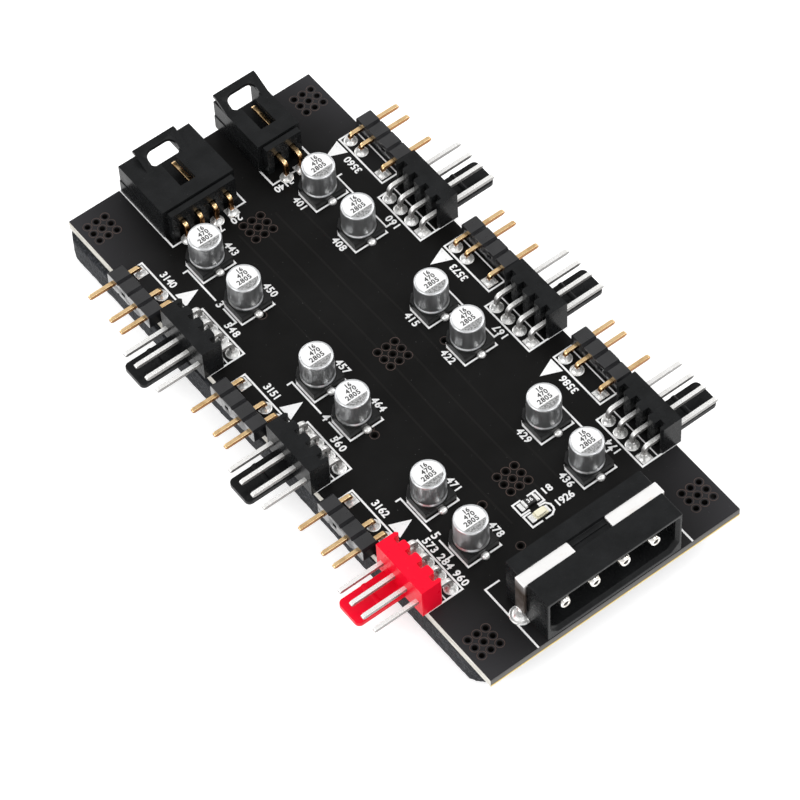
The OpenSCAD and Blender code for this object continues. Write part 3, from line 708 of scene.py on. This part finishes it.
PIN_RADIUS, SHAFT_LENGTH = 1.05, 3.0
SHAFT_RINGS = [(PIN_RADIUS, -SHAFT_LENGTH), (PIN_RADIUS, -1.75), (1.0, -1.45), (0.9, -1.15), (0.8, -0.92),
               (0.7, -0.8), (0.6, -0.76), (0.5, -0.79), (0.44, -0.92), (0.3, -0.98)]
tail_part = cut(merged("power_pins"), (0, power_front + SHAFT_LENGTH, 0), (0, 1, 0), clear_inner=True)
pin_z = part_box("power_pins")[1].z / MM - PIN_RADIUS
pin_places = [(x, power_front, pin_z, 0) for x in power_xs]
stand = Matrix.Rotation(math.radians(90), 4, "X")
shafts = copies(turned("shaft", SHAFT_RINGS, 32), pin_places, "shafts", stand)
round_pins = smooth(join([tail_part, shafts], "power_round_pins"), 40)
dress(round_pins, pin_tin, ["power_pins"])
# painted shade: a dark disc in the hollow of each rolled nose
nose_shades = copies(turned("nose_shade_disc", [(0.43, -0.9), (0.4, -0.88), (0.2, -0.875)], 24), pin_places, "pin_nose_shade", stand)
dress(nose_shades, pit_shade)


# Capacitors

CAN_RINGS = [(2.2, 0.86), (2.42, 0.88), (2.5, 0.96), (2.51, 1.1), (2.48, 1.22), (2.4, 1.33), (2.32, 1.42),
             (2.3, 1.5), (2.34, 1.58), (2.42, 1.66), (2.45, 1.76), (2.45, 5.22), (2.435, 5.36), (2.38, 5.48),
             (2.3, 5.56), (2.2, 5.585), (2.12, 5.57), (2.07, 5.53), (2.04, 5.51)]
BLOB_RINGS = [(0.58, 0.0), (0.64, 0.1), (0.64, 0.26), (0.56, 0.44), (0.4, 0.56), (0.2, 0.62), (0.08, 0.63)]
LEAD_OUT = 3.0
can_nodes = [f"capacitor_can_{i}" for i in range(1, 13)]
can_places = [middle(n) for n in can_nodes]
on_cans = [(x, y, BOARD_TOP, 0) for x, y in can_places]


def half_disc(name, thick, near, far=None):
    """A thin disc over the can's marked side of a line. A second line leaves only the low wall along the first."""
    d = turned(name, [(2.06, 5.53), (2.06, 5.53 + thick)], 64)
    cut(d, (0, near, 0), (0, 1, 0), clear_outer=True)
    return d if far is None else cut(d, (0, far, 0), (0, 1, 0), clear_inner=True)


cans = copies(turned("can", CAN_RINGS, 72), on_cans, "capacitor_shells")
smooth(cans, 50)
dress(cans, can_side, can_nodes)
discs = copies(turned("disc", [(2.1, 5.5), (2.1, 5.525), (2.07, 5.535)], 64), on_cans, "capacitor_faces")
dress(discs, can_face)
dress(copies(half_disc("segment", 0.015, -1.0), on_cans, "polarity_segments"), segment_ink)
dress(copies(half_disc("segment_edge", 0.02, -0.92, -1.04), on_cans, "segment_edges"), dark_ink)
lead_places = [(x, y + s * LEAD_OUT, BOARD_TOP, 0) for x, y in can_places for s in (-1, 1)]
lead_blobs = copies(turned("blob", BLOB_RINGS, 20), lead_places, "lead_solder")
dress(lumpy(lead_blobs, 0.1), solder_metal, ["capacitor_leads"])


# Resistor and indicator

CHIP_HALF = 0.625
RES_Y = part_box("resistor")[0].y / MM + CHIP_HALF
LED_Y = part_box("indicator_led")[0].y / MM + CHIP_HALF


def chip_block(name, x0, x1, y, half, z0, z1, width=0.05):
    """A block on the board between two x, its half width about y and two heights."""
    return rounded(block(name, (x0, y - half, BOARD_TOP + z0), (x1, y + half, BOARD_TOP + z1)), width)


body = chip_block("resistor_body", -0.72, 0.8, RES_Y, 0.6, 0.05, 0.52)
dress(body, chip_coat, ["resistor"])
ends = [chip_block("end", -1.05, -0.7, RES_Y, 0.6, 0.02, 0.54),
        chip_block("end", 0.78, 1.12, RES_Y, 0.6, 0.02, 0.54),
        chip_block("wet", -1.78, -1.12, RES_Y, 0.66, 0.0, 0.22, 0.1),
        chip_block("wet", 1.12, 1.42, RES_Y, 0.6, 0.0, 0.2, 0.08)]
dress(join(ends, "resistor_ends"), end_tin)
lens = chip_block("led_lens", -0.86, 0.72, LED_Y, 0.52, 0.3, 0.75, 0.16)
foot_plate = chip_block("led_plate", -0.98, 1.0, LED_Y, 0.6, 0.02, 0.36)
dress(join([lens, foot_plate], "led_body"), lens_resin, ["indicator_led"])
ends = [chip_block("wet", -1.78, -0.94, LED_Y, 0.64, 0.0, 0.24, 0.1),
        chip_block("wet", 0.98, 1.45, LED_Y, 0.6, 0.0, 0.24, 0.1)]
dress(join(ends, "led_ends"), end_tin)


# Screen print

LINE, FINE_LINE = 0.28, 0.2
line_levels = itertools.cycle((0.0, 0.003, 0.006, 0.009))


def stroke(points, width=LINE):
    """Straight printed lines through the points, each a little above the last."""
    made = []
    for (x0, y0), (x1, y1) in zip(points, points[1:]):
        only(None)
        place = ((x0 + x1) / 2 * MM, (y0 + y1) / 2 * MM, next(line_levels) * MM)
        bpy.ops.mesh.primitive_plane_add(size=1, location=place, rotation=(0, 0, math.atan2(y1 - y0, x1 - x0)))
        line = bpy.context.object
        line.scale = ((math.hypot(x1 - x0, y1 - y0) + width) * MM, width * MM, 1)
        made.append(settle(line))
    return made


def strokes(runs):
    return [line for points in runs for line in stroke(points)]


def printed(parts, name):
    """Joins flat print into one piece on the board and gives it the thickness of ink."""
    obj = join(parts, name)
    obj.location.z = PRINT_Z * MM
    settle(obj)
    return modify(obj, "SOLIDIFY", thickness=0.012 * MM, offset=1)


def number(text, x, y, height, turn, spacing=1.0, weight=0.05, z=PRINT_Z + 0.008):
    """A printed number centred at (x, y), turned by an angle in degrees."""
    only(None)
    bpy.ops.object.text_add(location=(0, 0, 0))
    letters = bpy.context.object.data
    letters.body = text
    letters.align_x = "CENTER"
    letters.align_y = "CENTER"
    letters.size = height * 1.38 * MM
    letters.space_character = spacing
    letters.offset = weight * MM
    letters.resolution_u = 3
    letters.extrude = 0.005 * MM
    bpy.ops.object.convert(target="MESH")
    obj = bpy.context.object
    obj.rotation_euler = (0, 0, math.radians(turn))
    obj.location = (x * MM, y * MM, z * MM)
    return settle(obj)


def header_lines(side):
    """Lines round the rear light header and fan header of the left (-1) or right (1) edge."""
    def run(points, width=LINE):
        return stroke([(side * (HALF_W - inside), y) for inside, y in points], width)

    back, front = STRIP_Y + 4.97, STRIP_Y - 5.13
    lines = run([(0.75, back), (3.84, back), (3.84, front), (0.75, front)])
    lines += run([(1.07, back), (1.07, front)], FINE_LINE)
    back, front = FAN_Y + 4.92, FAN_Y - 4.88
    lines += run([(2.7, back), (5.83, back), (5.83, front), (0.0, front)])
    lines += run([(3.1, back), (3.1, front)], FINE_LINE)
    lines += run([(7.4, 30.6), (8.1, 30.6), (8.1, 24.0)])
    return lines + run([(8.1, 22.0), (8.1, 19.08), (7.2, 19.08)])


def arrow(side):
    """A solid arrow head by the first pin of the light header."""
    only(None)
    bpy.ops.mesh.primitive_circle_add(vertices=3, radius=1 * MM, fill_type="NGON")
    head = bpy.context.object
    y = STRIP_Y - 3.75 if side < 0 else STRIP_Y + 3.7
    base, tip, half = 16.98, 13.92, 1.32
    corners = [(side * base, y + half * side), (side * base, y - half * side), (side * tip, y)]
    for v, (px, py) in zip(head.data.vertices, corners):
        v.co = (px * MM, py * MM, 0)
    head.data.update()
    return outward(head)


groups = []
for side in (-1, 1):
    group = printed(header_lines(side) + [arrow(side)], "group_lines")
    groups.append(copies(group, [(0, -k * GROUP_PITCH, 0, 0) for k in range(3)], "groups"))

# round each capacitor, from its middle
can_lines = printed(strokes([
    [(-2.45, 1.65), (-2.82, 1.05), (-2.82, -2.95), (-0.75, -2.95)],
    [(0.95, -2.95), (2.72, -2.95), (2.72, -2.3)],
    [(2.45, 1.65), (2.72, 1.25)]]), "can_lines")
groups.append(copies(can_lines, [(x, y, 0, 0) for x, y in can_places], "can_groups"))

# round the resistor, the indicator and the sockets
groups.append(printed(strokes([
    [(-0.9, -28.77), (-2.18, -28.77), (-2.18, -30.73), (-0.85, -30.73)],
    [(0.45, -28.77), (1.76, -28.77), (1.76, -30.73), (0.75, -30.73)],
    [(-1.0, -31.1), (-2.14, -31.1), (-2.14, -33.18), (-0.55, -33.18)],
    [(0.2, -33.18), (1.2, -33.18), (1.85, -32.75), (2.02, -32.3), (2.02, -31.75), (1.6, -31.12), (0.75, -31.02)],
    [(-10.9, -36.88), (-13.17, -36.88), (-13.2, -48.1)],
    [(10.9, -36.88), (13.05, -36.88), (13.08, -48.1)],
    [(-10.65, 35.25), (-12.35, 35.25), (-12.35, 48.1)],
    [(-1.15, 35.25), (0.25, 35.25), (0.25, 48.1)],
    [(12.45, 48.1), (12.45, 35.19), (5.15, 35.19), (5.15, 48.1)]]), "part_lines"))

# plain numbers in place of the photo's lettering
TALL = 1.15
labels = []
for k in range(3):
    dy = -k * GROUP_PITCH
    labels += [number(str(3140 + 11 * k), -16.25, 31.0 + dy, TALL, -90, 0.95),
               number(str(3560 + 13 * k), 16.2, 30.85 + dy, TALL, 90, 1.05),
               number(str(160 + 7 * k), 14.42, 19.1 + dy, TALL, 90, 1.15),
               number(str(3 + k), -13.1, 22.98 + dy, 1.3, -90)]
labels += [number("548", -14.35, 18.4, TALL, -90, 1.2),
           number("560", -14.35, 18.4 - GROUP_PITCH, TALL, -90, 1.2),
           number("573 284 960", -14.6, -30.1, TALL, -90, 1.15)]
for i, (x, y) in enumerate(can_places):
    across, down = (-3.8, -0.3) if x > 0 else (3.72, -0.6)
    labels.append(number(str(401 + i * 7), x + across, y + down, TALL, -90, 1.1))
labels += [number("18", 3.1, -29.6, TALL, 0, 1.1),
           number("1926", 4.04, -32.25, TALL, 0, 0.95),
           number("3140", 6.3, 34.2, 1.1, 180),
           number("20", -2.5, 33.6, 1.1, 180, 1.2),
           number("74", -5.6, 33.65, 1.1, 180, 1.2),
           number("36", 0.05, RES_Y, 0.62, 0, 1.1, 0.02, BOARD_TOP + 0.525)]
dress(join(groups + labels, "screen_print"), white_print)

FACE_Z = BOARD_TOP + 5.542
stamp = [number("16", 0.3, 1.38, 0.7, 0, 1.05, 0.03, 0),
         number("470", 0.2, 0.55, 0.74, 0, 1.1, 0.03, 0),
         number("2805", -0.1, -0.36, 0.78, 0, 1.1, 0.03, 0)]
stamps = copies(join(stamp, "stamp"), [(x, y, FACE_Z, 0) for x, y in can_places], "capacitor_numbers")
dress(stamps, dark_ink)


# Floor and light

FLOOR_GLOW = 0.52


def floor_material():
    """A matt floor that glows only for the camera and in reflections, so that it stays white in the picture."""
    mat, tree, bsdf = new_material("pale_floor", {
        "Base Color": (0.8, 0.8, 0.8, 1), "Roughness": 0.9, "Specular IOR Level": 0.0, "Emission Color": (1, 1, 1, 1)})
    ray = tree.nodes.new("ShaderNodeLightPath").outputs
    seen = maths(tree, "MINIMUM", plus(tree, ray["Is Camera Ray"], ray["Is Glossy Ray"]), 1.0)
    tree.links.new(times(tree, seen, FLOOR_GLOW), bsdf.inputs["Emission Strength"])
    return mat


only(None)
bpy.ops.mesh.primitive_plane_add(size=6, location=(0, 0, -0.00005))
floor = bpy.context.object
floor.name = "floor"
paint(floor, floor_material())

# a light tent, paler near the horizon and pure white where the camera sees it
world = bpy.data.worlds.new("studio")
bpy.context.scene.world = world
world.use_nodes = True
tent = world.node_tree
background = tent.nodes["Background"]
direction = tent.nodes.new("ShaderNodeTexCoord").outputs["Generated"]
walls = ramp(tent, axes(tent, direction)["Z"],
             [(0.0, grey(0.93)), (0.5, grey(0.83)), (0.78, grey(0.69)), (1.0, grey(0.66))])
seen = tent.nodes.new("ShaderNodeLightPath").outputs["Is Camera Ray"]
tent.links.new(mix(tent, seen, walls, (1.0, 1.0, 1.0, 1)), background.inputs["Color"])
background.inputs["Strength"].default_value = 1.0


def softbox(name, position, size, power):
    """A soft lamp at a place in metres, aimed at the middle of the hub."""
    light = bpy.data.lights.new(name, "AREA")
    light.shape = "RECTANGLE"
    light.size, light.size_y = size
    light.energy = power
    obj = bpy.data.objects.new(name, light)
    bpy.context.scene.collection.objects.link(obj)
    obj.location = position
    obj.rotation_mode = "QUATERNION"
    obj.rotation_quaternion = (-Vector(position)).to_track_quat("-Z", "Y")


softbox("far_box", (-0.12, 0.75, 0.5), (0.5, 0.3), 1.2)
softbox("right_box", (0.68, -0.1, 0.6), (0.5, 0.5), 2.2)
softbox("left_box", (-0.7, 0.05, 0.55), (0.5, 0.5), 2.0)
softbox("near_box", (0.1, -0.6, 0.75), (0.5, 0.5), 1.6)


# Camera, as fitted to the photo

SENSOR, PICTURE_PX, FOCAL_PX = 36, 800, 3951.66
DISTANCE, SHIFT_RIGHT, SHIFT_UP = 545.07, -1.296, 6.285
azimuth, height, roll = math.radians(-34.443), math.radians(55.542), math.radians(3.753)
centre = Vector((0.25, 1.25, BOARD_TOP)) * MM
back = Vector((math.sin(azimuth) * math.cos(height), -math.cos(azimuth) * math.cos(height), math.sin(height)))
level = Vector((math.cos(azimuth), math.sin(azimuth), 0))
upright = back.cross(level)
right = math.cos(roll) * level - math.sin(roll) * upright
up = math.sin(roll) * level + math.cos(roll) * upright
eye = centre + back * DISTANCE * MM - right * SHIFT_RIGHT * MM - up * SHIFT_UP * MM
optics = bpy.data.cameras.new("camera")
optics.sensor_width = SENSOR
optics.lens = FOCAL_PX * SENSOR / PICTURE_PX
optics.clip_start, optics.clip_end = 0.01, 20
camera = bpy.data.objects.new("camera", optics)
bpy.context.scene.collection.objects.link(camera)
camera.matrix_world = Matrix((
    (right.x, up.x, back.x, eye.x),
    (right.y, up.y, back.y, eye.y),
    (right.z, up.z, back.z, eye.z),
    (0, 0, 0, 1)))
bpy.context.scene.camera = camera
bpy.context.scene.view_settings.view_transform = "Standard"
